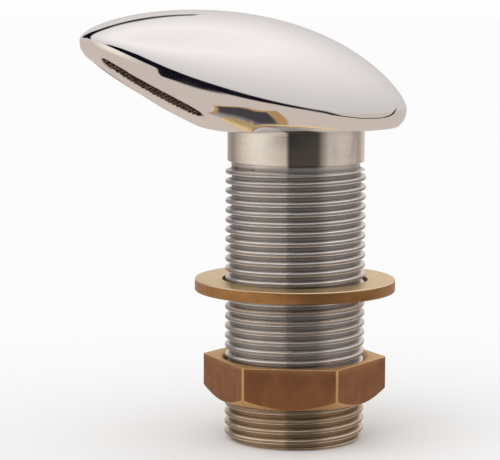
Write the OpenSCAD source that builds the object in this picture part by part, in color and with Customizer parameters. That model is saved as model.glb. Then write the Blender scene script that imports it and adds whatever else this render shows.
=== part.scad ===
// Clam-shell cowl vent on a G1 threaded stem, with deck washer and backing nut.
// Millimetres. +Z runs up the stem's axis, the nose points to -X, and the origin is
// the centre of the flat seat under the head.

/* [Head] */
// Length of the head, nose to tail
head_len = 78; // [75:0.5:81]
// Greatest width of the head
head_w = 46; // [43:0.5:50]
// How far the nose reaches in front of the stem's axis
nose_reach = 51.6; // [50.6:0.2:52.6]
// Height of the rim at the nose
nose_z = 21; // [19:0.5:23]
// Height of the rim at the tail
tail_z = 4.5; // [4:0.25:6]
// How far the rim dips below a straight line between nose and tail
rim_sag = 6.4; // [5.4:0.1:7]
// Height of the crown above the rim
crown_h = 20.4; // [18.4:0.5:22.4]
// Wall thickness of the head
wall = 1.4; // [1.2:0.1:1.6]

/* [Air slots] */
// Length of each air slot, seen from above
slot_len = 23; // [20:0.5:24]
// Width of each air slot, seen from above
slot_w = 8.8; // [6:0.2:9.2]
// Distance of the slots' centres in front of the stem's axis
slot_reach = 38; // [37:0.2:38.4]
// Distance of the slots' centres from the head's middle plane
slot_offset = 11.2; // [10.4:0.1:11.4]
// Angle that the slots splay out at, towards the tail
slot_angle = 24.8; // [23:0.2:26]
// Thickness of the woven gauze in the slots
gauze_t = 0.5; // [0.4:0.1:0.6]
// Thickness of the frame that holds each gauze
frame_t = 0.8; // [0.6:0.1:1]

/* [Stem] */
// Outside diameter of the G1 thread
thread_d = 33.24; // [33.07:0.01:33.25]
// Root diameter of the G1 thread
root_d = 30.3; // [30.2:0.01:30.5]
// Pitch of the G1 thread, 11 turns per inch
pitch = 2.309; // [2.309]
// Diameter of the plain collar under the head
collar_d = 32.4; // [31:0.1:32.5]
// Length of the plain collar
collar_len = 7.8; // [7.5:0.1:8]
// Length of the stem below the seat
stem_len = 74.4; // [72:0.1:76]
// Diameter of the air bore
bore_d = 26; // [24:0.5:27]

/* [Washer and nut] */
// Outside diameter of the deck washer
washer_d = 47.7; // [44:0.1:50]
// Hole in the deck washer
washer_hole_d = 34.6; // [34:0.1:35.5]
// Thickness of the deck washer
washer_t = 2.8; // [2:0.1:3.5]
// Depth of the washer's top face below the seat, as supplied
washer_depth = 35.9; // [20:0.1:38]
// Size of the nut across its flats
nut_af = 38; // [37.5:0.5:41]
// Height of the nut
nut_h = 9.7; // [8:0.1:11]
// Depth of the nut's top face below the seat, as supplied
nut_depth = 54.5; // [50:0.1:58]
// Angle that the nut is turned to
nut_angle = -22.2; // [-30:0.1:30]

/* [Hidden] */

half_len = head_len / 2;
half_w = head_w / 2;
mid_x = half_len - nose_reach;
plan_power = 0.85;       // below 1 fills out the plan beyond an ellipse
crown_power = 1.52;      // above 1 sharpens nose and tail in side view
crown_lean = 0.14;       // moves the crown's peak towards the nose
keel_z = -3.4;           // keel height where the flat seat is cut
keel_slope = 0.535;      // climb of the keel towards the nose
keel_bend_x = -16;       // where the keel starts to climb
keel_bend_r = 0.8;       // softness of that bend
keel_end_power = 3.2;    // roundness of the keel at nose and tail
round_power = 2.2;       // squareness of the lower section round the stem
flat_power = 4;          // squareness of the lower section round the air slots
flat_start_x = -18;      // where the underside starts to flatten
flat_run = 16;           // length over which it flattens
stations = 44;           // cross-sections along the head
steps = 22;              // segments across each section
floor_t = 2.2;           // thickness of the flat seat
seam_gap = 0.02;         // brazed seam between cap and base
fit_gap = 0.03;          // gap between pieces that are joined inside the head
past_lid = 1.5;          // how far a cavity is carried past its open side
patch_start = 12;        // the gauze lies between these two stations of the head
patch_end = 76;
patch_edge = 12;         // and stops this angle short of the rim on each side
patch_stations = 22;
patch_steps = 20;
big = 200;               // longer than any part

shoulder_h = 0.6;        // how far the collar is let into the head
spigot_d = 29.6;         // end of the stem inside the head
spigot_h = 6;            // height of that end above the seat
socket_wall = 1.6;       // ring inside the base that holds the spigot
socket_h = 4.5;          // height of that ring above the floor
flank = (thread_d - root_d) / 2 * tan(27.5);  // 55 degree Whitworth flanks
crest_flat = (pitch - 2 * flank) / 2;
relief_d = 30.5;         // groove between the collar and the thread
relief_slope = 0.35;     // height of the slope at the collar's lower edge
relief_len = 1.5;        // height of that groove with its slope
thread_top_z = -collar_len - relief_len;
run_in = 0.29;           // from the top of the thread to the middle of its first crest
first_crest_z = thread_top_z - run_in;
crests = floor((stem_len + first_crest_z) / pitch);
end_chamfer = 1.4;       // height of the chamfer at the stem's end
end_d = 30.1;            // outside diameter of the stem's end face

nut_bore_d = 33.4;       // runs on the thread's crests
nut_chamfer_d = 35.2;    // mouth of the nut's bore
nut_corner_drop = 2.15;  // height of the chamfer at the hexagon's corners
washer_chamfer = 0.25;   // on the washer's outer edges

slot_roundness = 0.8;    // below 1 fills out the slots' ends
slot_points = 72;        // corners of each slot's outline
gauze_lift = 0.35;       // height of the gauze above the head's outer face
frame_w = 1.3;           // width of the frame round each gauze
left = -1;
right = 1;

// ---- Shape of the head, drawn in by "inset" for its inside ----

function plan_x(t, inset) = mid_x - (half_len - inset) * cos(t);
function plan_w(t, inset) = (half_w - inset) * pow(sin(t), plan_power);
function along(x) = (x - mid_x) / half_len;
function rim_z(x) =
    (nose_z + tail_z) / 2 - (nose_z - tail_z) / 2 * along(x)
    - rim_sag * (1 - pow(along(x), 2));
function crown(t, inset) =
    (crown_h - inset) * pow(sin(t), crown_power) * (1 - crown_lean * cos(t));
function bend(u) = (u + sqrt(u * u + keel_bend_r * keel_bend_r)) / 2;
function keel(x) = keel_z + keel_slope * bend(keel_bend_x - x);
function depth(t, inset) =
    max(rim_z(plan_x(t, inset)) - keel(plan_x(t, inset)) - inset, 0.2)
    * pow(1 - pow(abs(cos(t)), keel_end_power), 1 / keel_end_power);

// A point on the crown, and one on the lower hull, in direction "a" round the section
function crown_point(t, a, inset) = [
    plan_x(t, inset),
    plan_w(t, inset) * cos(a),
    rim_z(plan_x(t, inset)) + crown(t, inset) * sin(a)
];
function eased(u) = u * u * (3 - 2 * u);
function flatness(x) = eased(min(max((flat_start_x - x) / flat_run, 0), 1));
function hull_power(x) = round_power + (flat_power - round_power) * flatness(x);
function reach(a, p) = pow(pow(abs(cos(a)), p) + pow(abs(sin(a)), p), 1 / p);
function hull_point(t, a, inset) =
    let (x = plan_x(t, inset), r = reach(a, hull_power(x)))
        [
            x,
            plan_w(t, inset) * cos(a) / r,
            rim_z(x) - depth(t, inset) * sin(a) / r
        ];

function station_t(i) = 180 * i / stations;
function ring_index(i, j) = 2 + (i - 1) * (steps + 1) + j;

// Faces of a lofted half: the curved side, closed by a lid across the rim
function side_faces() = [
    for (i = [1 : stations - 2], j = [0 : steps - 1])
        each [
            [ring_index(i, j), ring_index(i + 1, j), ring_index(i + 1, j + 1)],
            [ring_index(i, j), ring_index(i + 1, j + 1), ring_index(i, j + 1)]
        ]
];
function tip_faces() = [
    for (j = [0 : steps - 1])
        each [
            [0, ring_index(1, j), ring_index(1, j + 1)],
            [1, ring_index(stations - 1, j + 1), ring_index(stations - 1, j)]
        ]
];
function lid_faces() = [
    [0, ring_index(1, steps), ring_index(1, 0)],
    [1, ring_index(stations - 1, 0), ring_index(stations - 1, steps)],
    for (i = [1 : stations - 2])
        each [
            [ring_index(i, 0), ring_index(i, steps), ring_index(i + 1, steps)],
            [ring_index(i, 0), ring_index(i + 1, steps), ring_index(i + 1, 0)]
        ]
];
function flipped(faces) = [for (f = faces) [f[2], f[1], f[0]]];
function half_faces() = concat(side_faces(), tip_faces(), lid_faces());

module crown_solid(inset) {
    points = concat(
        [crown_point(0, 0, inset), crown_point(180, 0, inset)],
        [
            for (i = [1 : stations - 1], j = [0 : steps])
                crown_point(station_t(i), 180 * j / steps, inset)
        ]
    );
    polyhedron(points = points, faces = half_faces(), convexity = 6);
}

module hull_solid(inset) {
    points = concat(
        [hull_point(0, 0, inset), hull_point(180, 0, inset)],
        [
            for (i = [1 : stations - 1], j = [0 : steps])
                hull_point(station_t(i), 180 * j / steps, inset)
        ]
    );
    polyhedron(points = points, faces = flipped(half_faces()), convexity = 6);
}

// The same solids carried past their lids, so that a cavity cuts cleanly through
module crown_cavity(inset) {
    for (drop = [0, past_lid]) translate([0, 0, -drop]) crown_solid(inset);
}

module hull_cavity(inset) {
    for (lift = [0, past_lid]) translate([0, 0, lift]) hull_solid(inset);
}

module below(z) {
    translate([-big / 2, -big / 2, z - big]) cube([big, big, big]);
}

// ---- Air slots ----

function rounded_pow(c) = sign(c) * pow(abs(c), slot_roundness);
function slot_point(side, s, grow) =
    let (
        u = (slot_len / 2 + grow) * rounded_pow(cos(s)),
        v = (slot_w / 2 + grow) * rounded_pow(sin(s))
    )
        [
            -slot_reach + u * cos(slot_angle) - v * sin(slot_angle),
            side * (slot_offset + u * sin(slot_angle) + v * cos(slot_angle))
        ];

module slot_outline(side, grow) {
    polygon([for (k = [0 : slot_points - 1]) slot_point(side, 360 * k / slot_points, grow)]);
}

// A sheet inside a slot that follows the head's underside, "lift" above its outer face
function patch_t(i) = patch_start + (patch_end - patch_start) * i / patch_stations;
function patch_a(j) = patch_edge + (180 - 2 * patch_edge) * j / patch_steps;
function patch_index(k, i, j) = (k * (patch_stations + 1) + i) * (patch_steps + 1) + j;
function quad(a, b, c, d) = [[a, b, c], [a, c, d]];
function patch_sides(k) = [
    for (i = [0 : patch_stations - 1], j = [0 : patch_steps - 1])
        each quad(
            patch_index(k, i, j), patch_index(k, i, j + 1),
            patch_index(k, i + 1, j + 1), patch_index(k, i + 1, j)
        )
];
function patch_rims() = [
    for (i = [0 : patch_stations - 1])
        each concat(
            quad(
                patch_index(0, i, 0), patch_index(0, i + 1, 0),
                patch_index(1, i + 1, 0), patch_index(1, i, 0)
            ),
            quad(
                patch_index(0, i + 1, patch_steps), patch_index(0, i, patch_steps),
                patch_index(1, i, patch_steps), patch_index(1, i + 1, patch_steps)
            )
        ),
    for (j = [0 : patch_steps - 1])
        each concat(
            quad(
                patch_index(0, 0, j + 1), patch_index(0, 0, j),
                patch_index(1, 0, j), patch_index(1, 0, j + 1)
            ),
            quad(
                patch_index(0, patch_stations, j), patch_index(0, patch_stations, j + 1),
                patch_index(1, patch_stations, j + 1), patch_index(1, patch_stations, j)
            )
        )
];

module slot_sheet(side, lift, t) {
    intersection() {
        polyhedron(
            points = [
                for (k = [0, 1], i = [0 : patch_stations], j = [0 : patch_steps])
                    hull_point(patch_t(i), patch_a(j), 0) + [0, 0, lift + k * t]
            ],
            faces = concat(patch_sides(0), flipped(patch_sides(1)), patch_rims()),
            convexity = 6
        );
        linear_extrude(height = nose_z) slot_outline(side, -fit_gap);
    }
}

// ---- Sub-parts ----

module cowl_cap() {
    color("gainsboro")
        difference() {
            crown_solid(0);
            crown_cavity(wall);
        }
}

module cowl_base() {
    color("lightgray")
        difference() {
            union() {
                difference() {
                    translate([0, 0, -seam_gap]) hull_solid(0);
                    below(0);
                    difference() {
                        hull_cavity(wall);
                        below(floor_t);
                    }
                }
                translate([0, 0, floor_t / 2])
                    cylinder(h = floor_t / 2 + socket_h, d = spigot_d + 2 * socket_wall, $fn = 96);
            }
            translate([0, 0, -1])
                cylinder(h = big, d = spigot_d + 2 * fit_gap, $fn = 96);
            translate([0, 0, -1])
                cylinder(h = 1 + shoulder_h + fit_gap, d = collar_d + 2 * fit_gap, $fn = 96);
            for (side = [left, right])
                linear_extrude(height = nose_z) slot_outline(side, 0);
        }
}

module stem_profile() {
    r = thread_d / 2;
    root_r = root_d / 2;
    collar_r = collar_d / 2;
    relief_r = relief_d / 2;
    polygon(concat(
        [
            [bore_d / 2, -stem_len],
            [end_d / 2, -stem_len],
            [r, -stem_len + end_chamfer],
        ],
        [
            for (k = [crests - 1 : -1 : 0])
                let (z = first_crest_z - k * pitch)
                    each [
                        [root_r, z - pitch / 2 - crest_flat / 2],
                        [root_r, z - pitch / 2 + crest_flat / 2],
                        [r, z - crest_flat / 2],
                        [r, z + crest_flat / 2]
                    ]
        ],
        [
            [relief_r, thread_top_z],
            [relief_r, -collar_len - relief_slope],
            [collar_r, -collar_len],
            [collar_r, shoulder_h],
            [spigot_d / 2, shoulder_h],
            [spigot_d / 2, spigot_h],
            [bore_d / 2, spigot_h]
        ]
    ));
}

module threaded_stem() {
    color("silver") rotate_extrude($fn = 96) stem_profile();
}

module gauze(side) {
    color("saddlebrown") slot_sheet(side, gauze_lift, gauze_t);
}

module slot_frame(side) {
    color("darkgoldenrod")
        difference() {
            slot_sheet(side, gauze_lift + gauze_t + fit_gap, frame_t);
            linear_extrude(height = nose_z) slot_outline(side, -frame_w);
        }
}

module gauze_left() {
    gauze(left);
}

module gauze_right() {
    gauze(right);
}

module frame_left() {
    slot_frame(left);
}

module frame_right() {
    slot_frame(right);
}

module deck_washer() {
    color("goldenrod")
        translate([0, 0, -washer_depth - washer_t])
            rotate_extrude($fn = 96)
                polygon([
                    [washer_hole_d / 2, 0],
                    [washer_d / 2 - washer_chamfer, 0],
                    [washer_d / 2, washer_chamfer],
                    [washer_d / 2, washer_t - washer_chamfer],
                    [washer_d / 2 - washer_chamfer, washer_t],
                    [washer_hole_d / 2, washer_t]
                ]);
}

module backing_nut() {
    chamfer_reach = nut_af / sqrt(3) - nut_af / 2;
    color("peru")
        translate([0, 0, -nut_depth - nut_h])
            difference() {
                intersection() {
                    rotate([0, 0, nut_angle]) cylinder(h = nut_h, d = nut_af / cos(30), $fn = 6);
                    rotate_extrude($fn = 96)
                        polygon([
                            [0, 0],
                            [nut_af / 2, 0],
                            [nut_af / 2 + 2 * chamfer_reach, 2 * nut_corner_drop],
                            [nut_af / 2 + 2 * chamfer_reach, nut_h],
                            [0, nut_h]
                        ]);
                }
                translate([0, 0, -1]) cylinder(h = nut_h + 2, d = nut_bore_d, $fn = 96);
                rotate_extrude($fn = 96)
                    polygon([
                        [0, -1],
                        [nut_chamfer_d / 2 + 1, -1],
                        [nut_bore_d / 2, (nut_chamfer_d - nut_bore_d) / 2],
                        [0, (nut_chamfer_d - nut_bore_d) / 2]
                    ]);
                translate([0, 0, nut_h])
                    rotate_extrude($fn = 96)
                        polygon([
                            [0, 1],
                            [nut_chamfer_d / 2 + 1, 1],
                            [nut_bore_d / 2, (nut_bore_d - nut_chamfer_d) / 2],
                            [0, (nut_bore_d - nut_chamfer_d) / 2]
                        ]);
            }
}

cowl_cap();
cowl_base();
threaded_stem();
gauze_left();
gauze_right();
frame_left();
frame_right();
deck_washer();
backing_nut();
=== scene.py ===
"""Looks of a clam-shell cowl vent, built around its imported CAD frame.

Sizes are in millimetres and turns in radians, unless a name or a comment says otherwise.
+Z runs up the stem, the nose points to -X, and the origin is on the seat under the head.
"""

import math

import bmesh
import bpy
import numpy as np
from mathutils import Matrix, Vector


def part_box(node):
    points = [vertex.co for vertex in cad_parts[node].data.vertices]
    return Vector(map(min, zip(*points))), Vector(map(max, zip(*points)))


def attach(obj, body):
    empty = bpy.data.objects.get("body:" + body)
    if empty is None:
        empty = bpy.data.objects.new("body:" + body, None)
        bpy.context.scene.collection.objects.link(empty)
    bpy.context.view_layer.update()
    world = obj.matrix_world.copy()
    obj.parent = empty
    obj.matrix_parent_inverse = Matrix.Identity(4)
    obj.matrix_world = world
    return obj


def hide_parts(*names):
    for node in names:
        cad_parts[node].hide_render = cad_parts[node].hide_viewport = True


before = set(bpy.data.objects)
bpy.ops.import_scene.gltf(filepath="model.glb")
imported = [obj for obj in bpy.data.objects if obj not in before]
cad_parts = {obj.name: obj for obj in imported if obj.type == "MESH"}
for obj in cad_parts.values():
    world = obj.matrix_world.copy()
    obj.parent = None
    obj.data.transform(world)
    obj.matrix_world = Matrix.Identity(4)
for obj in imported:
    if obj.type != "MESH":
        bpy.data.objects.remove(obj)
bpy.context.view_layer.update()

MM = 0.001  # metres in a millimetre
TOUCH = 0.0004  # points nearer than this are one point
TINY = 1e-6  # keeps a division off zero
VIEW_TURN = math.radians(19)  # the camera's place round Z, from the side view towards the nose


# ---------------------------------------------------------------- mesh helpers

EASE_SHARE = 0.45  # the largest share of an edge that one eased corner may use


def box_of(node):
    """A CAD node's lowest and highest corners."""
    return [Vector(corner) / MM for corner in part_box(node)]


def mesh_object(name, points, faces, smooth=True):
    """A new mesh object."""
    mesh = bpy.data.meshes.new(name)
    mesh.from_pydata([tuple(float(c) * MM for c in p) for p in points], [], faces)
    mesh.validate()
    mesh.update()
    mesh.polygons.foreach_set("use_smooth", [smooth] * len(mesh.polygons))
    thing = bpy.data.objects.new(name, mesh)
    bpy.context.scene.collection.objects.link(thing)
    return thing


def clean(thing, merge=True):
    """Drops empty faces and unused points, and can merge points that meet."""
    work = bmesh.new()
    work.from_mesh(thing.data)
    if merge:
        bmesh.ops.remove_doubles(work, verts=work.verts, dist=TOUCH * MM)
    bmesh.ops.dissolve_degenerate(work, edges=work.edges, dist=TOUCH * MM)
    unused = [v for v in work.verts if not v.link_faces]
    bmesh.ops.delete(work, geom=unused, context="VERTS")
    work.to_mesh(thing.data)
    work.free()


def place(thing, body, node, material):
    """Rides on a body, stands for a CAD node and takes its finish."""
    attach(thing, body)
    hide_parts(node)
    thing.data.materials.clear()
    thing.data.materials.append(material)


def turned(columns, start=0, closed=True):
    """Points and faces of a surface that goes once round Z, from its (radius, z) columns."""
    count = len(columns[0])
    points = []
    faces = []
    for i, column in enumerate(columns):
        angle = 2 * math.pi * i / len(columns)
        points += [(r * math.cos(angle), r * math.sin(angle), z) for r, z in column]
        here = start + i * count
        there = start + (i + 1) % len(columns) * count
        for j in range(count if closed else count - 1):
            k = (j + 1) % count
            faces.append((here + j, there + j, there + k, here + k))
    return points, faces


def rounded(corners, radius, steps):
    """A closed (radius, z) outline with each corner eased by a small curve."""
    outline = []
    for i, corner in enumerate(corners):
        here = np.array(corner, dtype=float)
        before = np.array(corners[i - 1], dtype=float) - here
        after = np.array(corners[(i + 1) % len(corners)], dtype=float) - here
        reach = min(radius, EASE_SHARE * np.hypot(*before), EASE_SHARE * np.hypot(*after))
        start = here + before / np.hypot(*before) * reach
        end = here + after / np.hypot(*after) * reach
        for k in range(steps + 1):
            s = k / steps
            outline.append(tuple((1 - s) ** 2 * start + 2 * s * (1 - s) * here + s * s * end))
    return outline


# ---------------------------------------------------------------- head's shape

SEAT_Z = 0.0
BASE_BOX = box_of("cowl_base")
NOSE_X = BASE_BOX[0].x
TAIL_X = BASE_BOX[1].x
MID_X = (NOSE_X + TAIL_X) / 2
HALF_LEN = (TAIL_X - NOSE_X) / 2
HALF_W = BASE_BOX[1].y
NOSE_Z = 21.0  # the rim's height at the nose
TAIL_Z = 4.5  # the rim's height at the tail
RIM_SAG = 6.4  # the rim's dip below a straight line between them
CROWN_H = 20.4  # the upper shell's height over the rim
CROWN_POWER = 1.52  # above 1, the crown thins sooner than an ellipse towards its ends
CROWN_LEAN = 0.14  # how far the crown's bulk leans towards the tail
PLAN_POWER = 0.85  # below 1, the plan is fuller than an ellipse
WALL = 1.4
INNER_FLOOR_Z = 2.2  # the head's inner floor, over the seat
KEEL_Z = -3.4  # the lower shell's level keel, before the seat cuts it flat
KEEL_SLOPE = 0.535  # the keel's rise towards the nose
KEEL_BEND_X = -16.0  # where that rise starts
KEEL_BEND_R = 0.8
KEEL_END_POWER = 3.2  # how squarely the keel closes at both ends
LEAST_DEPTH = 0.2
ROUND_POWER = 2.2  # the lower shell's section over the seat, near an ellipse
FLAT_POWER = 4.0  # its section near the nose, closer to a box
FLAT_START_X = -18.0
FLAT_RUN = 16.0
SEAT_EASE = 0.35
STATIONS = 240  # grid lines from nose to tail
STEPS = 128  # grid steps from side to side


def plan_x(t, inset):
    """Place along the head, for t from 0 at the nose to pi at the tail."""
    return MID_X - (HALF_LEN - inset) * np.cos(t)


def plan_w(t, inset):
    """Half of the head's width."""
    return (HALF_W - inset) * np.sin(t) ** PLAN_POWER


def rim_z(x):
    """Height of the rim, where the two shells meet."""
    along = (x - MID_X) / HALF_LEN
    chord = (NOSE_Z + TAIL_Z) / 2 - (NOSE_Z - TAIL_Z) / 2 * along
    return chord - RIM_SAG * (1 - along**2)


def crown(t, inset):
    """Height of the upper shell over the rim."""
    return (CROWN_H - inset) * np.sin(t) ** CROWN_POWER * (1 - CROWN_LEAN * np.cos(t))


def keel(x):
    """Height of the lower shell's lowest line, before its ends close."""
    u = KEEL_BEND_X - x
    return KEEL_Z + KEEL_SLOPE * (u + np.sqrt(u * u + KEEL_BEND_R**2)) / 2


def depth(t, inset):
    """Depth of the lower shell under the rim."""
    x = plan_x(t, inset)
    ends = (1 - np.abs(np.cos(t)) ** KEEL_END_POWER) ** (1 / KEEL_END_POWER)
    return np.maximum(rim_z(x) - keel(x) - inset, LEAST_DEPTH) * ends


def hull_power(x):
    """The power of the lower shell's section, growing boxy towards the nose."""
    u = np.clip((FLAT_START_X - x) / FLAT_RUN, 0, 1)
    return ROUND_POWER + (FLAT_POWER - ROUND_POWER) * u * u * (3 - 2 * u)


def above_floor(z, floor):
    """Lifts z to the floor, with a small fillet where the two meet."""
    over = z - floor
    fillet = (over + SEAT_EASE) ** 2 / (4 * SEAT_EASE)
    return floor + np.where(over > SEAT_EASE, over, np.where(over < -SEAT_EASE, 0, fillet))


def grid_turns():
    """The turns of a shell's grid, from nose to tail and from side to side."""
    t = math.pi * np.arange(1, STATIONS)[:, None] / STATIONS
    a = math.pi * np.arange(STEPS + 1)[None] / STEPS
    return t, a


def crown_grid(inset):
    """Points of the upper shell, stations by steps, without its two tips."""
    t, a = grid_turns()
    x = plan_x(t, inset) + 0 * a
    y = plan_w(t, inset) * np.cos(a)
    z = rim_z(x) + crown(t, inset) * np.sin(a)
    return np.stack([x, y, z], axis=-1)


def hull_grid(inset, floor):
    """Points of the lower shell, stations by steps, without its two tips."""
    t, a = grid_turns()
    x = plan_x(t, inset) + 0 * a
    n = hull_power(x)
    reach = (np.abs(np.cos(a)) ** n + np.abs(np.sin(a)) ** n) ** (1 / n)
    y = plan_w(t, inset) * np.cos(a) / reach
    z = above_floor(rim_z(x) - depth(t, inset) * np.sin(a) / reach, floor)
    return np.stack([x, y, z], axis=-1)


def hull_height(x, y, inset, floor):
    """Height of the lower shell over any place inside its plan."""
    t = np.arccos(np.clip((MID_X - x) / (HALF_LEN - inset), -1, 1))
    n = hull_power(x)
    across = np.clip(np.abs(y) / np.maximum(plan_w(t, inset), TINY), 0, 1)
    return above_floor(rim_z(x) - depth(t, inset) * (1 - across**n) ** (1 / n), floor)


def skin_points(grid, inset):
    """One skin's points: its nose and tail tips, then its grid."""
    tips = [(x, 0.0, float(rim_z(x))) for x in (NOSE_X + inset, TAIL_X - inset)]
    return tips + [tuple(p) for p in grid.reshape(-1, 3)]


def grid_index(i, j):
    """Index of a grid point, after the two tips."""
    return 2 + i * (STEPS + 1) + j


def skin_faces(inside_out, offset, skip=frozenset()):
    """Faces of one lofted skin, with some grid cells left out."""
    faces = []
    last = STATIONS - 2
    for j in range(STEPS):
        faces.append((0, grid_index(0, j), grid_index(0, j + 1)))
        faces.append((1, grid_index(last, j + 1), grid_index(last, j)))
        for i in range(last):
            if (i, j) not in skip:
                corners = ((i, j), (i + 1, j), (i + 1, j + 1), (i, j + 1))
                faces.append(tuple(grid_index(*corner) for corner in corners))
    order = -1 if inside_out else 1
    return [tuple(v + offset for v in face[::order]) for face in faces]


def bridge(loop, offset, flip):
    """Faces between a loop of one skin and the same loop of the other."""
    faces = []
    for a, b in zip(loop, loop[1:] + loop[:1]):
        quad = (a, b, b + offset, a + offset)
        faces.append(tuple(reversed(quad)) if flip else quad)
    return faces


def rim_loop():
    """The rim of one skin: along one side, then back along the other."""
    last = STATIONS - 1
    side = [grid_index(i, 0) for i in range(last)]
    back = [grid_index(i, STEPS) for i in reversed(range(last))]
    return [0] + side + [1] + back


def level_rim_normals(thing):
    """Makes the polished skin run smoothly across the brazed seam at the rim."""
    mesh = thing.data
    normals = [Vector(v.normal) for v in mesh.vertices]
    loop = rim_loop()
    for k, index in enumerate(loop):
        ahead = mesh.vertices[loop[(k + 1) % len(loop)]].co
        behind = mesh.vertices[loop[k - 1]].co
        along = ahead - behind
        outward = Vector((along.y, -along.x, 0)).normalized()
        if outward.dot(normals[index]) < 0:
            outward = -outward
        normals[index] = outward
    mesh.normals_split_custom_set_from_vertices([tuple(n) for n in normals])


def build_cap():
    """The upper shell, with an outer and an inner skin."""
    points = skin_points(crown_grid(0), 0)
    offset = len(points)
    points += skin_points(crown_grid(WALL), WALL)
    faces = skin_faces(False, 0) + skin_faces(True, offset)
    faces += bridge(rim_loop(), offset, True)
    thing = mesh_object("vent_cap", points, faces)
    level_rim_normals(thing)
    return thing


# ---------------------------------------------------------------- air slots and base

SIDES = {"left": -1, "right": 1}  # the sign of Y on each side
SLOT_X = -38.0  # the middle of a slot, from the stem's axis
SLOT_Y = 11.2
SLOT_LEN = 23.0
SLOT_W = 8.8
SLOT_SPLAY = math.radians(24.8)
SLOT_ROUNDNESS = 0.8  # below 1, a slot is fuller than an ellipse
LIP_R = 0.3  # the rounding of a slot's outer edge
LIP_STEPS = 4
SOCKET_R = 14.83  # the hole for the stem's spigot
OUTLINE_POINTS = 1440


def outline_turns():
    """The turns of an opening's outline."""
    return 2 * math.pi * np.arange(OUTLINE_POINTS) / OUTLINE_POINTS


def slot_power(v):
    """A sine or cosine pushed out towards a box."""
    return np.sign(v) * np.abs(v) ** SLOT_ROUNDNESS


def slot_outline(side, grow):
    """The edge of one air slot seen from above, as an array of (x, y)."""
    turns = outline_turns()
    u = (SLOT_LEN / 2 + grow) * slot_power(np.cos(turns))
    v = (SLOT_W / 2 + grow) * slot_power(np.sin(turns))
    x = SLOT_X + u * math.cos(SLOT_SPLAY) - v * math.sin(SLOT_SPLAY)
    y = SLOT_Y + u * math.sin(SLOT_SPLAY) + v * math.cos(SLOT_SPLAY)
    return np.stack([x, side * y], axis=-1)


def socket_outline():
    """The hole for the stem, seen from above."""
    turns = outline_turns()
    return SOCKET_R * np.stack([np.cos(turns), np.sin(turns)], axis=-1)


def nearest(outline, spot):
    """The outline's point nearest to a plan place."""
    return outline[np.argmin(((outline - spot) ** 2).sum(axis=1))]


def inside(points, outline):
    """Which plan points lie inside an outline, by crossing count."""
    found = np.zeros(len(points), dtype=bool)
    for (ax, ay), (bx, by) in zip(outline, np.roll(outline, -1, axis=0)):
        if ay == by:
            continue
        crosses = (ay > points[:, 1]) != (by > points[:, 1])
        x_at = ax + (points[:, 1] - ay) * (bx - ax) / (by - ay)
        found ^= crosses & (points[:, 0] < x_at)
    return found


def opening_cells(grid, outline):
    """Grid cells whose middle lies inside an outline."""
    middle = (grid[:-1, :-1] + grid[1:, 1:]) / 2
    under = middle[..., :2].reshape(-1, 2)
    hit = inside(under, outline).reshape(middle.shape[:2])
    return {(int(i), int(j)) for i, j in zip(*np.nonzero(hit))}


def opening_loop(cells):
    """The ordered (i, j) grid points round a patch of cells."""
    step = {}
    for i, j in cells:
        corners = [(i, j), (i + 1, j), (i + 1, j + 1), (i, j + 1)]
        across = [(i, j - 1), (i + 1, j), (i, j + 1), (i - 1, j)]
        for k in range(4):
            if across[k] not in cells:
                step[corners[k]] = corners[(k + 1) % 4]
    loop = [next(iter(step))]
    while step[loop[-1]] != loop[0]:
        loop.append(step[loop[-1]])
    return loop


def snap(grid, loop, outline, inset, floor):
    """Moves an opening's grid points onto its true outline."""
    for i, j in loop:
        x, y = nearest(outline, grid[i, j, :2])
        grid[i, j] = (x, y, hull_height(np.array(x), np.array(y), inset, floor))


def rolled_lip(points, loop, outer, offset, outline):
    """A small rounded edge round a slot, then its wall up to the inner skin."""
    rings = [[grid_index(i, j) for i, j in loop]]
    for k in range(1, LIP_STEPS + 1):
        turn = math.pi / 2 * k / LIP_STEPS
        ring = []
        for i, j in loop:
            edge = outer[i, j]
            x, y = edge[:2] + (nearest(outline, edge[:2]) - edge[:2]) * math.sin(turn)
            ring.append(len(points))
            points.append((x, y, edge[2] + LIP_R * (1 - math.cos(turn))))
        rings.append(ring)
    rings.append([grid_index(i, j) + offset for i, j in loop])
    faces = []
    for near, far in zip(rings, rings[1:]):
        for k in range(len(near)):
            n = (k + 1) % len(near)
            faces.append((near[k], near[n], far[n], far[k]))
    return faces


def build_base():
    """The lower shell, with two air slots and a hole for the stem's spigot."""
    outer = hull_grid(0, SEAT_Z)
    inner = hull_grid(WALL, INNER_FLOOR_Z)
    openings = [(slot_outline(side, 0), slot_outline(side, LIP_R)) for side in SIDES.values()]
    openings.append((socket_outline(), socket_outline()))
    loops = []
    skip = set()
    for inner_edge, outer_edge in openings:
        cells = opening_cells(outer, inner_edge)
        loop = opening_loop(cells)
        snap(outer, loop, outer_edge, 0, SEAT_Z)
        snap(inner, loop, inner_edge, WALL, INNER_FLOOR_Z)
        loops.append(loop)
        skip |= cells
    points = skin_points(outer, 0)
    offset = len(points)
    points += skin_points(inner, WALL)
    faces = skin_faces(True, 0, skip) + skin_faces(False, offset, skip)
    faces += bridge(rim_loop(), offset, False)
    faces += bridge([grid_index(i, j) for i, j in loops[-1]], offset, False)
    for loop, (inner_edge, _) in zip(loops[:-1], openings):
        faces += rolled_lip(points, loop, outer, offset, inner_edge)
    thing = mesh_object("vent_base", points, faces)
    level_rim_normals(thing)
    clean(thing, merge=False)
    return thing


# ---------------------------------------------------------------- stem

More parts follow.
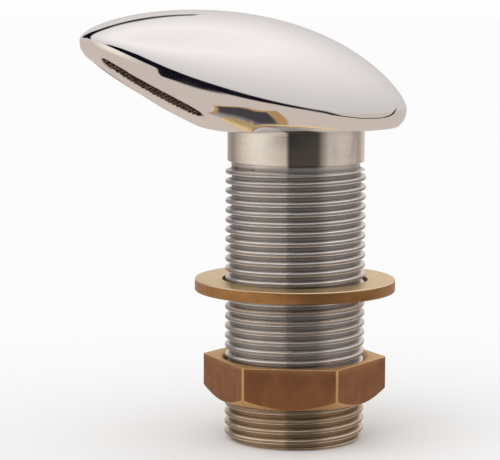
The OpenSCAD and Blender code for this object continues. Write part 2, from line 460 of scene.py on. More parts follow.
STEM_BOX = box_of("threaded_stem")
STEM_END_Z = STEM_BOX[0].z
SPIGOT_TOP_Z = STEM_BOX[1].z
SPIGOT_R = 14.8  # the stem's end inside the head
THREAD_R = STEM_BOX[1].x
ROOT_R = 15.15
PITCH = 2.309
BORE_R = 13.0
COLLAR_R = 16.2
COLLAR_TOP_Z = -0.02  # a brazed joint's gap under the seat
COLLAR_END_Z = -7.8
RELIEF_R = 15.25
RELIEF_CHAMFER = 0.35
THREAD_TOP_Z = -9.3
CREST_FLAT = 0.24
BROW_W = 0.43  # the rounded shoulder beside a crest's flat
BROW_DROP = 0.3
FLANK_W = 0.25
FLANK_EASE = 0.1  # in flank widths
THREAD_START = 0.25  # where the helix starts, in turns
RUN_IN = 0.55  # the length in which the thread grows out of the relief
END_R = 14.9  # the thread's chamfer at the end face
END_CHAMFER = 1.3
EDGE_EASE = 0.15
EASE_STEPS = 4
SPARE_TURNS = 3  # turns of thread past both ends together, before they are held there
STEM_SEGMENTS = 138
# Where the rows of points lie on each side of a crest, in pitches from its middle.
ROW_PLACES = (0.03, 0.07, 0.11, 0.15, 0.19, 0.22, 0.245, 0.27, 0.295, 0.32, 0.35, 0.42)


def soft_clamp(v):
    """v held between 0 and 1 with eased corners."""
    low = (v + np.sqrt(v * v + FLANK_EASE**2)) / 2
    top = 1 - low
    return 1 - (top + np.sqrt(top * top + FLANK_EASE**2)) / 2


def thread_radius(from_crest):
    """Radius of the full thread, so many pitches from a crest's middle."""
    away = abs(from_crest) * PITCH - CREST_FLAT / 2
    brow = min(max(away / BROW_W, 0), 1)
    flank = float(soft_clamp((away - BROW_W) / FLANK_W))
    return THREAD_R - BROW_DROP * brow**2 - (THREAD_R - ROOT_R - BROW_DROP) * flank


def cut_radius(from_crest, z):
    """Radius of the thread, cut down by the end's chamfer and by the run-in."""
    up_chamfer = (z - STEM_END_Z) / END_CHAMFER
    down_run = (THREAD_TOP_Z - z) / RUN_IN
    if down_run <= 0:
        return RELIEF_R
    radius = thread_radius(from_crest)
    if up_chamfer < 1:
        radius = min(radius, END_R + (THREAD_R - END_R) * up_chamfer)
    if down_run < 1:
        radius = min(radius, RELIEF_R + (THREAD_R - RELIEF_R) * down_run)
    return radius


def thread_mesh():
    """The right-hand thread, with rows that follow the helix."""
    rows_from_crest = [-p for p in reversed(ROW_PLACES)] + list(ROW_PLACES)
    per_turn = len(rows_from_crest)
    turns = int((THREAD_TOP_Z - STEM_END_Z) / PITCH) + SPARE_TURNS
    rows = turns * per_turn
    lowest = STEM_END_Z - PITCH * (SPARE_TURNS / 2 + THREAD_START)
    points = []
    faces = []
    for s in range(STEM_SEGMENTS):
        angle = 2 * math.pi * s / STEM_SEGMENTS
        last = s + 1 == STEM_SEGMENTS
        there = 0 if last else (s + 1) * rows
        shift = per_turn if last else 0
        for k in range(rows):
            turn, row = divmod(k, per_turn)
            from_crest = rows_from_crest[row]
            z = lowest + (turn + from_crest + s / STEM_SEGMENTS) * PITCH
            z = min(max(z, STEM_END_Z), THREAD_TOP_Z)
            r = cut_radius(from_crest, z)
            points.append((r * math.cos(angle), r * math.sin(angle), z))
            here = s * rows + k
            beside = there + k + shift
            if k + shift + 1 < rows:
                faces.append((here, beside, beside + 1, here + 1))
    return points, faces


def build_stem():
    """The thread, closed by the relief, collar, spigot, bore and end face."""
    points, faces = thread_mesh()
    corners = [
        (RELIEF_R, THREAD_TOP_Z),
        (RELIEF_R, COLLAR_END_Z - RELIEF_CHAMFER),
        (COLLAR_R, COLLAR_END_Z),
        (COLLAR_R, COLLAR_TOP_Z),
        (SPIGOT_R, COLLAR_TOP_Z),
        (SPIGOT_R, SPIGOT_TOP_Z),
        (BORE_R, SPIGOT_TOP_Z),
        (BORE_R, STEM_END_Z),
        (END_R, STEM_END_Z),
    ]
    eased = rounded(corners, EDGE_EASE, EASE_STEPS)[EASE_STEPS + 1 : -EASE_STEPS - 1]
    end_edge = (END_R - EDGE_EASE, STEM_END_Z)
    profile = [corners[0], *eased, end_edge, corners[-1]]
    body_points, body_faces = turned([profile] * STEM_SEGMENTS, len(points), closed=False)
    thing = mesh_object("vent_stem", points + body_points, faces + body_faces)
    clean(thing)
    return thing


# ---------------------------------------------------------------- gauze

WIRE_R = 0.16
WIRE_GAP = 0.8  # from wire to wire
WIRE_SIDES = 6
WEAVE_STEPS = 6  # points from one crossing to the next
GAUZE_LIFT = 0.6  # the gauze's middle over the head's outer skin
GAUZE_EDGE = 0.1  # the gap between the gauze and a slot's edge
EDGE_SHARE = 0.3  # the outermost wires' distance from the edge, in wire gaps


def gauze_height(x, y):
    """Middle height of the gauze over a plan place."""
    return float(hull_height(np.array(x), np.array(y), 0, SEAT_Z)) + GAUZE_LIFT


def wire_path(axis, value, ends, index):
    """One wire along x or y = value, from edge to edge, weaving over and under."""
    step = WIRE_GAP / WEAVE_STEPS
    run = np.arange(ends[0], ends[1] + step, step)
    first_way = 1 if axis == 1 else -1
    lifts = first_way * WIRE_R * np.cos(math.pi * (run / WIRE_GAP + index % 2))
    path = []
    for along, lift in zip(run, lifts):
        x, y = (value, along) if axis == 0 else (along, value)
        path.append((x, y, gauze_height(x, y) + lift))
    return path


def span(outline, axis, value):
    """Where a straight line at x or y = value enters and leaves an outline."""
    other = 1 - axis
    a = outline
    b = np.roll(outline, -1, axis=0)
    hit = (a[:, axis] > value) != (b[:, axis] > value)
    u = (value - a[hit, axis]) / (b[hit, axis] - a[hit, axis])
    places = a[hit, other] + u * (b[hit, other] - a[hit, other])
    return float(places.min()), float(places.max())


def tube(path, radius, start):
    """Points and faces of a round wire along a path, closed at both ends."""
    points = []
    faces = []
    path = [np.array(p) for p in path]
    for k, here in enumerate(path):
        along = path[min(k + 1, len(path) - 1)] - path[max(k - 1, 0)]
        along = along / np.linalg.norm(along)
        side = np.cross(along, (0, 0, 1))
        side = side / np.linalg.norm(side)
        up = np.cross(side, along)
        for s in range(WIRE_SIDES):
            a = 2 * math.pi * s / WIRE_SIDES
            points.append(here + radius * (side * math.cos(a) + up * math.sin(a)))
    for k in range(len(path) - 1):
        for s in range(WIRE_SIDES):
            n = (s + 1) % WIRE_SIDES
            low = start + k * WIRE_SIDES
            high = low + WIRE_SIDES
            faces.append((low + s, low + n, high + n, high + s))
    faces.append(tuple(start + s for s in range(WIRE_SIDES)))
    last = start + (len(path) - 1) * WIRE_SIDES
    faces.append(tuple(last + s for s in reversed(range(WIRE_SIDES))))
    return points, faces


def build_gauze(name, side):
    """The woven wire in one slot: the wires along Y, then those along X."""
    outline = slot_outline(side, -GAUZE_EDGE)
    points = []
    faces = []
    for axis in (0, 1):
        first = math.ceil(outline[:, axis].min() / WIRE_GAP + EDGE_SHARE)
        last = math.floor(outline[:, axis].max() / WIRE_GAP - EDGE_SHARE)
        for index in range(first, last + 1):
            value = index * WIRE_GAP
            ends = span(outline, axis, value)
            if ends[1] - ends[0] < WIRE_GAP:
                continue
            path = wire_path(axis, value, ends, index)
            new_points, new_faces = tube(path, WIRE_R, len(points))
            points += new_points
            faces += new_faces
    return mesh_object(name, points, faces)


# ---------------------------------------------------------------- washer and nut

WASHER_BOX = box_of("deck_washer")
WASHER_HOLE_R = 17.3
WASHER_EASE = 0.3
WASHER_SEGMENTS = 256
NUT_BOX = box_of("backing_nut")
NUT_FLAT_R = 19.0  # from the axis to a flat
NUT_POINT_R = NUT_FLAT_R / math.cos(math.pi / 6)  # to a sharp corner
NUT_ANGLE = math.radians(-22.2)  # the turn of one corner
NUT_CORNER_CUT = 0.16
NUT_CORNER_SOFTNESS = 0.05
NUT_CHAMFER_RISE = 2.15  # the lower chamfer's height at a sharp corner
NUT_CHAMFER_STEPS = 5
NUT_FOOT = 0.1  # the eased edge under the lower chamfer
NUT_EDGE = 0.16  # the easing of the top edge and of the chamfer's
NUT_EASE = 0.05
NUT_BORE_R = 16.7
NUT_MOUTH_R = 17.6
NUT_MOUTH_DEPTH = 0.9
NUT_SEGMENTS = 720


def build_washer():
    """The loose flat washer, with eased edges."""
    top = WASHER_BOX[1].z
    bottom = WASHER_BOX[0].z
    rim = WASHER_BOX[1].x
    corners = [(WASHER_HOLE_R, bottom), (rim, bottom), (rim, top), (WASHER_HOLE_R, top)]
    profile = rounded(corners, WASHER_EASE, EASE_STEPS)
    points, faces = turned([profile] * WASHER_SEGMENTS)
    return mesh_object("washer_ring", points, faces)


def hexagon_radius(angle):
    """Distance from the axis to the nut's flats, with softened corners."""
    sixth = math.pi / 3
    off = abs((angle - NUT_ANGLE + sixth / 2) % sixth - sixth / 2)
    reach = NUT_FLAT_R / math.cos(sixth / 2 - off)
    limit = NUT_POINT_R - NUT_CORNER_CUT
    return (reach + limit - math.hypot(reach - limit, NUT_CORNER_SOFTNESS)) / 2


def nut_column(angle, top, bottom):
    """The nut's section at one angle, as (radius, z), from its lower mouth to its bore."""
    reach = hexagon_radius(angle)
    rise = NUT_CHAMFER_RISE * (reach - NUT_FLAT_R) / (NUT_POINT_R - NUT_FLAT_R)
    foot = bottom + NUT_FOOT + rise
    column = [
        (NUT_MOUTH_R, bottom),
        (NUT_FLAT_R - 0.5, bottom),
        (NUT_FLAT_R - 0.12, bottom + 0.03),
        (NUT_FLAT_R, bottom + NUT_FOOT),
    ]
    for k in range(1, NUT_CHAMFER_STEPS):
        s = k / NUT_CHAMFER_STEPS
        column.append((NUT_FLAT_R + (reach - NUT_FLAT_R) * s, bottom + NUT_FOOT + rise * s))
    column += [
        (reach - 0.02, foot + 0.06),
        (reach, foot + NUT_EDGE),
        (reach, (foot + top) / 2),
        (reach, top - NUT_EDGE),
        (reach - NUT_EASE, top - NUT_EASE),
        (reach - NUT_EDGE, top),
        (NUT_MOUTH_R + 0.3, top),
        (NUT_MOUTH_R, top - NUT_EASE),
        (NUT_BORE_R, top - NUT_MOUTH_DEPTH),
        (NUT_BORE_R, bottom + NUT_MOUTH_DEPTH),
    ]
    return column


def build_nut():
    """The hexagonal nut, chamfered below."""
    angles = [2 * math.pi * s / NUT_SEGMENTS for s in range(NUT_SEGMENTS)]
    points, faces = turned([nut_column(a, NUT_BOX[1].z, NUT_BOX[0].z) for a in angles])
    return mesh_object("nut_hexagon", points, faces)


# ---------------------------------------------------------------- node helpers


def colour(red, green, blue):
    """An opaque colour, in linear light."""
    return (red, green, blue, 1.0)


WHITE = colour(1.0, 1.0, 1.0)


class Nodes:
    """Short calls for building the node tree of one material or world."""

    def __init__(self, owner, output="ShaderNodeOutputMaterial"):
        owner.use_nodes = True
        self.owner = owner
        self.tree = owner.node_tree
        self.tree.nodes.clear()
        self.out = self.add(output)
        self.coords = self.add("ShaderNodeTexCoord").outputs

    def add(self, kind, **settings):
        """A new node."""
        node = self.tree.nodes.new(kind)
        for key, value in settings.items():
            setattr(node, key, value)
        return node

    def put(self, socket, value):
        """Joins an output to a socket, or sets the socket's own value."""
        if hasattr(value, "is_output"):
            self.tree.links.new(value, socket)
        else:
            socket.default_value = value

    def show(self, shader):
        """Makes a shader the tree's result."""
        self.put(self.out.inputs["Surface"], shader.outputs[0])
        return self.owner

    def maths(self, operation, first, second=0.0, third=0.0):
        """One sum on one, two or three numbers."""
        node = self.add("ShaderNodeMath", operation=operation)
        for socket, item in zip(node.inputs, (first, second, third)):
            self.put(socket, item)
        return node.outputs[0]

    def line(self, value, slope, base):
        """slope * value + base."""
        return self.maths("MULTIPLY_ADD", value, slope, base)

    def least(self, first, *others):
        """The least of several numbers."""
        for other in others:
            first = self.maths("MINIMUM", first, other)
        return first

    def remap(self, value, low, high, to_low=0.0, to_high=1.0):
        """Carries the range low to high over to another, held at both ends."""
        node = self.add("ShaderNodeMapRange")
        for socket, item in zip(node.inputs[:5], (value, low, high, to_low, to_high)):
            self.put(socket, item)
        return node.outputs[0]

    def above(self, value, edge, softness):
        """0 below an edge and 1 above it."""
        return self.remap(self.maths("SUBTRACT", value, edge), -softness, softness)

    def curve(self, value, points, low, high):
        """Straight lines through (degrees, output) points, for -180 to 180 degrees."""
        node = self.add("ShaderNodeFloatCurve")
        ends = [((d + 180) / 360, (v - low) / (high - low)) for d, v in points]
        knots = node.mapping.curves[0].points
        knots[0].location = ends[0]
        knots[1].location = ends[-1]
        for end in ends[1:-1]:
            knots.new(*end)
        for knot in knots:
            knot.handle_type = "VECTOR"
        node.mapping.update()
        self.put(node.inputs["Value"], self.remap(value, -180, 180))
        return self.remap(node.outputs[0], 0, 1, low, high)

    def split(self, vector):
        """The x, y and z of a vector."""
        node = self.add("ShaderNodeSeparateXYZ")
        self.put(node.inputs[0], vector)
        return node.outputs

    def seen(self, direction):
        """A direction from the camera's side: to its right, towards it, and up."""
        turned_node = self.add("ShaderNodeMapping", vector_type="POINT")
        turned_node.inputs["Rotation"].default_value = (0, 0, VIEW_TURN)
        self.put(turned_node.inputs["Vector"], direction)
        side, back, up = self.split(turned_node.outputs[0])
        return side, self.maths("MULTIPLY", back, -1.0), up

    def degrees(self, turn):
        """Radians to degrees."""
        return self.maths("MULTIPLY", turn, 180 / math.pi)

    def normal(self):
        """The way a face looks, in the frame's own axes."""
        return self.add("ShaderNodeNewGeometry").outputs["Normal"]

    def from_axis(self):
        """Distance from the stem's axis, and height, in millimetres."""
        x, y, z = self.split(self.coords["Object"])
        square = self.maths("MULTIPLY_ADD", x, x, self.maths("MULTIPLY", y, y))
        return self.maths("DIVIDE", self.maths("SQRT", square), MM), self.maths("DIVIDE", z, MM)

    def noise(self, scale, detail=2.0, stretch=(1, 1, 1), rough=0.5):
        """Noise over the object, with scale in features per metre."""
        mapping = self.add("ShaderNodeMapping")
        mapping.inputs["Scale"].default_value = stretch
        self.put(mapping.inputs["Vector"], self.coords["Object"])
        node = self.add("ShaderNodeTexNoise")
        self.put(node.inputs["Vector"], mapping.outputs[0])
        self.put(node.inputs["Scale"], scale)
        self.put(node.inputs["Detail"], detail)
        self.put(node.inputs["Roughness"], rough)
        return node.outputs[0]

    def mix(self, factor, first, second, blend_type="MIX"):
        """Two colours put together."""
        node = self.add("ShaderNodeMix", data_type="RGBA", blend_type=blend_type)
        self.put(node.inputs[0], factor)
        self.put(node.inputs[6], first)
        self.put(node.inputs[7], second)
        return node.outputs[2]

    def times(self, first, second):
        """One colour multiplied by another."""
        return self.mix(1.0, first, second, "MULTIPLY")

    def mottled(self, pattern, first, second, low=0.3, high=0.7):
        """One colour giving way to another as a pattern rises from low to high."""
        return self.mix(self.remap(pattern, low, high), first, second)

    def grey(self, value):
        """A grey of a given lightness."""
        node = self.add("ShaderNodeCombineColor")
        for socket in node.inputs[:3]:
            self.put(socket, value)
        return node.outputs[0]

    def bump(self, height, strength, distance):
        """A normal tilted by a pattern of heights."""
        node = self.add("ShaderNodeBump")
        self.put(node.inputs["Height"], height)
        self.put(node.inputs["Strength"], strength)
        self.put(node.inputs["Distance"], distance * MM)
        return node.outputs[0]

    def metal(self, tint, roughness, **others):
        """A metal surface, with the shader's other inputs given by name."""
        shader = self.add("ShaderNodeBsdfPrincipled")
        inputs = {"Base Color": tint, "Roughness": roughness, "Metallic": 1.0, **others}
        for name, value in inputs.items():
            self.put(shader.inputs[name], value)
        return self.show(shader)


def new_material(name):
    """The node tree of a new material."""
    return Nodes(bpy.data.materials.new(name))


# ---------------------------------------------------------------- materials

# Painted reflection on a turned face: how light it looks, with its highlights and dark streak, by how
# far it turns from the camera: (degrees, lightness).
BARREL_PAINTED_REFLECTION = (
    (-180, 0.7), (-90, 0.7), (-76, 0.45), (-65, 0.35), (-58, 0.62), (-50, 0.88), (-38, 1.1),
    (-30, 1.18), (-24, 1.08), (-15, 0.98), (-12, 0.95), (-7.8, 0.9), (-6.4, 0.1), (18, 0.1),
    (28, 0.82), (40, 0.88), (50, 0.84), (56, 0.75), (63, 0.48), (68, 0.62), (73, 0.9),
    (80, 0.95), (180, 0.7),
)
# Painted reflection on the washer's rim, by how far it turns from the camera: (degrees, lightness).
RIM_PAINTED_REFLECTION = (
    (-180, 0.85), (-60, 0.8), (-45, 0.8), (-28, 0.86), (-20, 0.94), (-6, 0.95), (0, 0.7),
    (8, 0.46), (20, 0.47), (30, 0.54), (38, 0.63), (48, 0.75), (60, 0.84), (180, 0.85),
)
BRIGHTEST = 1.2  # the top of every lightness scale

# Edges between looks: where one starts and where it is complete.
GOLDEN_END_Z = (-60.0, -66.0)  # golden towards the stem's end
THREAD_LOOK_Z = (-8.0, -9.0)  # the collar's look gives way to the thread's
GROOVE_SHADE_R = (15.9, 15.3)  # painted shade in the thread's grooves
CREST_DARK_REFLECTION_R = (THREAD_R - 0.05, THREAD_R - 0.02)  # a painted dark reflection on its flat crests
NUT_CORNER_HIGHLIGHT_R = (hexagon_radius(NUT_ANGLE) - 0.075, hexagon_radius(NUT_ANGLE))  # a painted gold highlight on the nut's corners
RIM_TO_FACE = (0.9, 0.99)  # the washer's rim gives way to its level faces, which are painted lighter as lit from above, by the normal's z
HIGHLIGHT_FROM_RIM = (0.1, 0.4)  # a painted highlight on its upper edge, by the same
HIGHLIGHT_FROM_FACE = (0.995, 0.97)
FLAT_TO_LEVEL_HIGHLIGHT = (0.15, 0.5)  # the nut's flats give way to its chamfer and ends, which carry a painted gold highlight, by the same


def painted_reflection_tone(n, points):
    """A painted reflection: how light a turned face looks as it turns away from the camera."""
    side, front, _ = n.seen(n.normal())
    facing = n.degrees(n.maths("ARCTAN2", side, front))
    return n.curve(facing, points, 0, BRIGHTEST)


def polished_chrome():
    """Mirror plating with faint buffing haze and slow waviness."""
    n = new_material("polished_chrome")
    haze = n.noise(420, 3, (0.35, 1, 1))
    tint = n.mottled(haze, colour(0.92, 0.92, 0.92), colour(0.94, 0.94, 0.94))
    rough = n.remap(haze, 0.3, 0.75, 0.035, 0.07)
    return n.metal(tint, rough, Normal=n.bump(n.noise(55, 1), 0.05, 0.05))


def nickel_tint(n, golden_end, on_thread, groove_shade, crest_dark_reflection):
    """Plate that is warm on the collar and golden near the end, with painted shade in the thread's
    grooves and a painted dark reflection on its crests.
    """
    plate = n.mottled(n.noise(160, 3), colour(0.98, 0.96, 0.94), colour(0.90, 0.87, 0.85), low=0.35)
    plate = n.mix(on_thread, colour(0.99, 0.92, 0.83), plate)
    tint = n.mix(golden_end, plate, colour(0.86, 0.72, 0.57))
    tint = n.mix(groove_shade, tint, n.mix(golden_end, colour(0.41, 0.385, 0.37), colour(0.37, 0.27, 0.17)))
    return n.mix(crest_dark_reflection, tint, n.mix(golden_end, colour(0.26, 0.24, 0.23), colour(0.24, 0.17, 0.10)))


def turned_nickel():
    """Satin plate over fine turning rings, with a painted reflection: a dark upright streak on the
    camera's side and highlights beside it.
    """
    n = new_material("turned_nickel")
    rings = n.noise(1.0, 3, (60, 60, 9000))
    radius, height = n.from_axis()
    on_thread = n.remap(height, *THREAD_LOOK_Z)
    # Painted shade in the thread's grooves.
    groove_shade = n.maths("MULTIPLY", n.remap(radius, *GROOVE_SHADE_R), on_thread)
    # A painted dark reflection on the thread's flat crests.
    crest_dark_reflection = n.maths("MULTIPLY", n.remap(radius, *CREST_DARK_REFLECTION_R, 0, 0.85), on_thread)
    tint = nickel_tint(n, n.remap(height, *GOLDEN_END_Z), on_thread, groove_shade, crest_dark_reflection)
    # A painted reflection by where the face turns, with the turning rings' streaks on it.
    reflection_and_rings = n.maths("MULTIPLY", painted_reflection_tone(n, BARREL_PAINTED_REFLECTION), n.remap(rings, 0.25, 0.75, 0.85, 1.12))
    reflection_and_rings = n.mix(n.remap(on_thread, 0, 1, 0, 0.5), n.grey(reflection_and_rings), WHITE)
    upright = n.add("ShaderNodeCombineXYZ")
    n.put(upright.inputs["Z"], 1.0)
    return n.metal(
        n.times(tint, reflection_and_rings),
        n.line(groove_shade, 0.25, n.remap(rings, 0.3, 0.7, 0.2, 0.3)),
        Metallic=0.78,
        Normal=n.bump(rings, 0.18, 0.03),
        Anisotropic=n.remap(on_thread, 0, 1, 0.7, 0.3),
        Tangent=upright.outputs[0],
    )


def turned_brass():
    """Washer brass: level faces painted lighter gold than the browner rim as lit from above, a painted
    highlight on the upper edge, and a painted reflection on the rim.
    """
    n = new_material("turned_brass")
    up = n.split(n.normal())[2]
    stains = n.noise(220, 4, rough=0.6)
    grain = n.noise(1500, 2)
    rim = n.mottled(stains, colour(0.64, 0.35, 0.135), colour(0.50, 0.26, 0.105), low=0.35)
    # Painted reflection on the rim, by how far it turns from the camera.
    rim = n.times(rim, n.grey(painted_reflection_tone(n, RIM_PAINTED_REFLECTION)))
    # The level faces are painted lighter gold than the rim, as lit from above.
    lit_faces = n.mottled(stains, colour(0.98, 0.77, 0.45), colour(0.90, 0.67, 0.36))
    tint = n.mix(n.remap(n.maths("ABSOLUTE", up), *RIM_TO_FACE), rim, lit_faces)
    # A painted highlight along the upper edge.
    edge = n.maths("MULTIPLY", n.remap(up, *HIGHLIGHT_FROM_RIM), n.remap(up, *HIGHLIGHT_FROM_FACE))
    tint = n.mix(edge, tint, colour(1.0, 0.82, 0.55))
    return n.metal(tint, n.remap(grain, 0.3, 0.7, 0.28, 0.42), Normal=n.bump(grain, 0.25, 0.02))


def drawn_brass():
    """Nut brass: brown drawn flats with fine upright lines, and painted gold highlights at its corners
    and on its chamfer and ends.
    """
    n = new_material("drawn_brass")
    lines = n.noise(1.0, 3, (1600, 1600, 40))
    stains = n.noise(260, 4, rough=0.6)
    flats = n.mottled(stains, colour(0.40, 0.19, 0.09), colour(0.31, 0.145, 0.07), low=0.35)
    radius, _ = n.from_axis()
    # Painted gold highlights on the rounded corners, and on the chamfer and the level ends.
    corner = n.remap(radius, *NUT_CORNER_HIGHLIGHT_R, 0, 0.8)
    level = n.remap(n.maths("ABSOLUTE", n.split(n.normal())[2]), *FLAT_TO_LEVEL_HIGHLIGHT, 0, 0.8)
    tint = n.mix(n.maths("MAXIMUM", corner, level), flats, colour(0.95, 0.66, 0.33))
    return n.metal(tint, n.remap(lines, 0.3, 0.7, 0.4, 0.55), Normal=n.bump(lines, 0.4, 0.02))


def frame_brass():
    """The hidden frame's plain rolled brass."""
    n = new_material("frame_brass")
    grain = n.noise(900, 3)
    tint = n.mottled(grain, colour(0.66, 0.46, 0.22), colour(0.55, 0.37, 0.17))
    return n.metal(tint, n.remap(grain, 0.3, 0.7, 0.3, 0.5))


def dull_wire():
    """Dark bronze wire with worn bright patches."""
    n = new_material("dull_wire")
    wear = n.noise(1400, 3)
    tint = n.mottled(wear, colour(0.05, 0.026, 0.02), colour(0.42, 0.29, 0.21), 0.45, 0.72)
    return n.metal(tint, n.remap(wear, 0.3, 0.7, 0.5, 0.25))


# ---------------------------------------------------------------- camera, floor and key light

SENSOR_W = 36.0
LENS = 143.496
LENS_SHIFT = -0.00934  # in widths of the picture
CLIP_NEAR = 0.01  # metres
CLIP_FAR = 20.0  # metres
EYE = (-2.4, -470.2, 33.3)  # before it goes round by VIEW_TURN
EYE_YAW = -0.0178
EYE_PITCH = 0.12
EYE_ROLL = 0.0054
FLOOR_GAP = 0.02  # under the stem's end
FLOOR_REACH = 6000
FLOOR_TONE = colour(0.88, 0.88, 0.88)
FLOOR_SHADE = colour(0.8668, 0.8668, 0.8668)
KEY_FROM = Vector((-0.5, -0.6, 1.1))  # to the camera's left, towards it, and up
KEY_SPREAD = math.radians(50)
KEY_POWER = 0.5
GO_ROUND = Matrix.Rotation(-VIEW_TURN, 4, "Z")


def build_camera():
    """The camera: set up facing the vent's side, then taken round towards the nose."""
    data = bpy.data.cameras.new("camera")
    data.sensor_width = SENSOR_W
    data.lens = LENS
    data.shift_y = LENS_SHIFT
    data.clip_start = CLIP_NEAR
    data.clip_end = CLIP_FAR
    thing = bpy.data.objects.new("camera", data)
    bpy.context.scene.collection.objects.link(thing)
    right = Vector((math.cos(EYE_YAW), -math.sin(EYE_YAW), 0))
    level = Vector((math.sin(EYE_YAW), math.cos(EYE_YAW), 0))
    ahead = level * math.cos(EYE_PITCH) - Vector((0, 0, 1)) * math.sin(EYE_PITCH)
    up = right.cross(ahead)
    tilted_right = right * math.cos(EYE_ROLL) + up * math.sin(EYE_ROLL)
    tilted_up = up * math.cos(EYE_ROLL) - right * math.sin(EYE_ROLL)
    pose = Matrix((tilted_right, tilted_up, -ahead)).transposed().to_4x4()
    pose.translation = Vector(EYE) * MM
    thing.matrix_world = GO_ROUND @ pose
    bpy.context.scene.camera = thing


def pale_matt():
    """The floor's plain matt finish, with the faintest mottling."""
    n = new_material("pale_floor")
    shader = n.add("ShaderNodeBsdfDiffuse")
    n.put(shader.inputs["Color"], n.mix(n.noise(6, 2), FLOOR_TONE, FLOOR_SHADE))
    return n.show(shader)


def build_floor():
    """A broad pale floor that the stem's end stands on."""
    z = STEM_END_Z - FLOOR_GAP
    corners = [(x * FLOOR_REACH, y * FLOOR_REACH, z) for x, y in ((-1, -1), (1, -1), (1, 1), (-1, 1))]
    floor = mesh_object("floor", corners, [(0, 1, 2, 3)], smooth=False)
    floor.data.materials.append(pale_matt())
    floor.visible_glossy = False


def build_key():
    """One very soft key from the camera's upper left, for the shadow on the floor."""
    data = bpy.data.lights.new("key", "SUN")
    data.angle = KEY_SPREAD
    data.energy = KEY_POWER
    thing = bpy.data.objects.new("key", data)
    bpy.context.scene.collection.objects.link(thing)
    thing.rotation_euler = (-(GO_ROUND @ KEY_FROM)).to_track_quat("-Z", "Y").to_euler()
    thing.visible_glossy = False


# ---------------------------------------------------------------- studio round the vent

# The tent's lightness by elevation, and the edges of its dark gaps by azimuth, in degrees.
# Azimuth 0 is towards the camera, and it grows to the camera's right.
SKY = ((-180, 0.62), (0, 0.62), (10, 0.65), (30, 0.74), (45, 0.83), (62, 0.96), (90, 0.88), (180, 0.88))
GAP_TOP = (
    (-180, -40), (-74, 16), (-63, 25), (-45, 27), (-25, 23), (-15, 16.5), (-5, 11.5),
    (5, 8.5), (25, 5.4), (45, 2.6), (58, 0.6), (66, -4), (80, -13), (97, -13), (104, -8),
    (112, -1), (120, 5), (180, -40),
)
GAP_BOTTOM = (
    (-180, -38), (-74, 17), (-62, 11), (-45, 6), (-25, 1), (-17, -0.5), (-15.5, -6.5),
    (-5, -4.6), (15, -3.8), (25, -2.2), (38, -0.6), (50, -1), (58, -2.5), (66, -8),
    (80, -17), (97, -17), (106, -13), (114, -4), (122, 6), (180, -36),
)
GAP_SOFTNESS = 0.7
FAR_GAP_TOP = ((-180, 35), (-170, 39), (-158, 38), (-145, 31), (-122, 26), (-112, 14), (180, 0))
FAR_GAP_BOTTOM = (
    (-180, 31), (-165, 32), (-159, 28), (-156, 9), (-150, 10), (-144, 13), (-137, 18),
    (-112, 15), (180, 5),
)
FAR_GAP_SOFTNESS = 2.0
FAR_GAP_FADE = (-100, -125)
HORIZON = -0.5
HORIZON_SOFTNESS = 1.5
GLOW_BOTTOM = -3
GLOW_TOP = (13, 4)
GLOW_LEFT = (-110, -80)
GLOW_RIGHT = (-28, -55)

TENT = colour(1.0, 0.945, 0.925)
BEIGE = colour(0.60, 0.51, 0.455)
GLOW = colour(0.92, 0.85, 0.73)
GAP = colour(0.006, 0.005, 0.010)
BLACK = colour(0, 0, 0)
BACKDROP = colour(0.99, 0.99, 0.99)

# The washer's reflection, in a plan of directions: side to the camera's right, front to it.
RING = colour(0.42, 0.26, 0.12)
SHADE_NEAR = colour(0.06, 0.052, 0.058)
SHADE_FAR = colour(0.34, 0.31, 0.29)
SHADE_FRONT = (0.15, -0.25)  # where one shade starts and the other is complete
PATCH_LEFT = (0.25, -0.135)  # the slope and base of a line: side = slope * front + base
PATCH_RIGHT = (0.35, 0.285)
PATCH_FRONT = (0.5, 0.62)  # front = slope * side + base
PATCH_FRONT_END = 0.78
PATCH_BACK_END = -0.45
RING_LEFT_W = 0.04
RING_RIGHT_W = (0.08, 0.05)  # slope and base again
RING_FRONT_W = 0.05
PATCH_SOFTNESS = 0.012


def gap_between(n, azimuth, elevation, top, bottom, softness):
    """1 between two elevations that change with the azimuth."""
    over_bottom = n.above(elevation, n.curve(azimuth, bottom, -90, 90), softness)
    over_top = n.above(elevation, n.curve(azimuth, top, -90, 90), softness)
    return n.maths("MULTIPLY", over_bottom, n.maths("SUBTRACT", 1.0, over_top))


def dark_gaps(n, azimuth, elevation):
    """1 in the tent's gaps near eye level, by the camera and behind the vent."""
    near = gap_between(n, azimuth, elevation, GAP_TOP, GAP_BOTTOM, GAP_SOFTNESS)
    far = gap_between(n, azimuth, elevation, FAR_GAP_TOP, FAR_GAP_BOTTOM, FAR_GAP_SOFTNESS)
    return n.maths("MAXIMUM", near, n.maths("MULTIPLY", far, n.remap(azimuth, *FAR_GAP_FADE)))


def tent(n, azimuth, elevation):
    """A pale tent over a beige floor, with a warm glow low on the camera's left."""
    cloth = n.mix(n.curve(elevation, SKY, 0, BRIGHTEST), BLACK, TENT)
    look = n.mix(n.above(elevation, HORIZON, HORIZON_SOFTNESS), BEIGE, cloth)
    over = n.above(elevation, GLOW_BOTTOM, HORIZON_SOFTNESS)
    low = n.maths("MULTIPLY", over, n.remap(elevation, *GLOW_TOP))
    left = n.maths("MULTIPLY", n.remap(azimuth, *GLOW_LEFT), n.remap(azimuth, *GLOW_RIGHT))
    return n.mix(n.maths("MULTIPLY", low, left), look, GLOW)


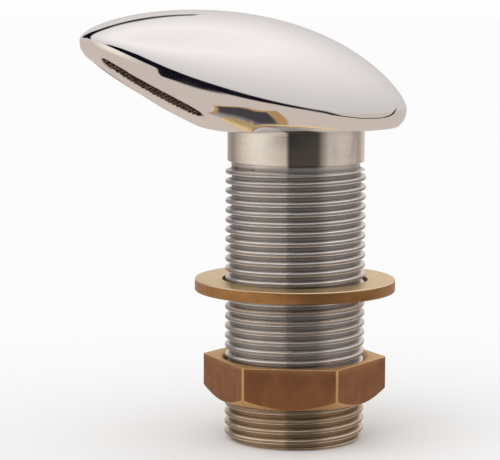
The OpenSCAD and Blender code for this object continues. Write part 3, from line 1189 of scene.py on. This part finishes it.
def washer_patch(n, look, side, front, up):
    """The washer as the head's underside sees it: a golden ring round a dark gap.

    The least distance inside the edges says how far inside the patch a direction lies.
    """
    from_back = n.maths("SUBTRACT", front, PATCH_BACK_END)
    from_front = n.least(
        n.maths("SUBTRACT", n.line(side, *PATCH_FRONT), front),
        n.maths("SUBTRACT", PATCH_FRONT_END, front),
        n.maths("MULTIPLY", up, -1),
    )
    from_left = n.maths("SUBTRACT", side, n.line(front, *PATCH_LEFT))
    from_right = n.maths("SUBTRACT", n.line(front, *PATCH_RIGHT), side)
    ring = n.least(from_left, from_right, from_back, from_front)
    gap = n.least(
        n.maths("SUBTRACT", from_left, RING_LEFT_W),
        n.maths("SUBTRACT", from_right, n.line(front, *RING_RIGHT_W)),
        from_back,
        n.maths("SUBTRACT", from_front, RING_FRONT_W),
    )
    shade = n.mix(n.remap(front, *SHADE_FRONT), SHADE_NEAR, SHADE_FAR)
    look = n.mix(n.remap(ring, 0, PATCH_SOFTNESS), look, RING)
    return n.mix(n.remap(gap, 0, PATCH_SOFTNESS), look, shade)


def build_world():
    """A studio that only the metal sees, with white light and a pale backdrop for the rest."""
    world = bpy.data.worlds.new("studio")
    bpy.context.scene.world = world
    n = Nodes(world, "ShaderNodeOutputWorld")
    side, front, up = n.seen(n.coords["Generated"])
    azimuth = n.degrees(n.maths("ARCTAN2", side, front))
    elevation = n.degrees(n.maths("ARCSINE", up))
    look = washer_patch(n, tent(n, azimuth, elevation), side, front, up)
    look = n.mix(dark_gaps(n, azimuth, elevation), look, GAP)
    path = n.add("ShaderNodeLightPath").outputs
    look = n.mix(path["Is Diffuse Ray"], look, WHITE)
    look = n.mix(path["Is Camera Ray"], look, BACKDROP)
    shader = n.add("ShaderNodeBackground")
    n.put(shader.inputs["Color"], look)
    n.show(shader)


# ---------------------------------------------------------------- the vent


def build_vent():
    """Every piece, on its own body and with its own finish."""
    chrome = polished_chrome()
    place(build_cap(), "vent", "cowl_cap", chrome)
    place(build_base(), "vent", "cowl_base", chrome)
    place(build_stem(), "vent", "threaded_stem", turned_nickel())
    wire = dull_wire()
    frame_finish = frame_brass()
    for name, side in SIDES.items():
        place(build_gauze("wires_" + name, side), "vent", "gauze_" + name, wire)
        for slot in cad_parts["frame_" + name].material_slots:
            slot.material = frame_finish
    place(build_washer(), "washer", "deck_washer", turned_brass())
    place(build_nut(), "nut", "backing_nut", drawn_brass())


bpy.context.scene.view_settings.view_transform = "Standard"
build_world()
build_key()
build_floor()
build_camera()
build_vent()
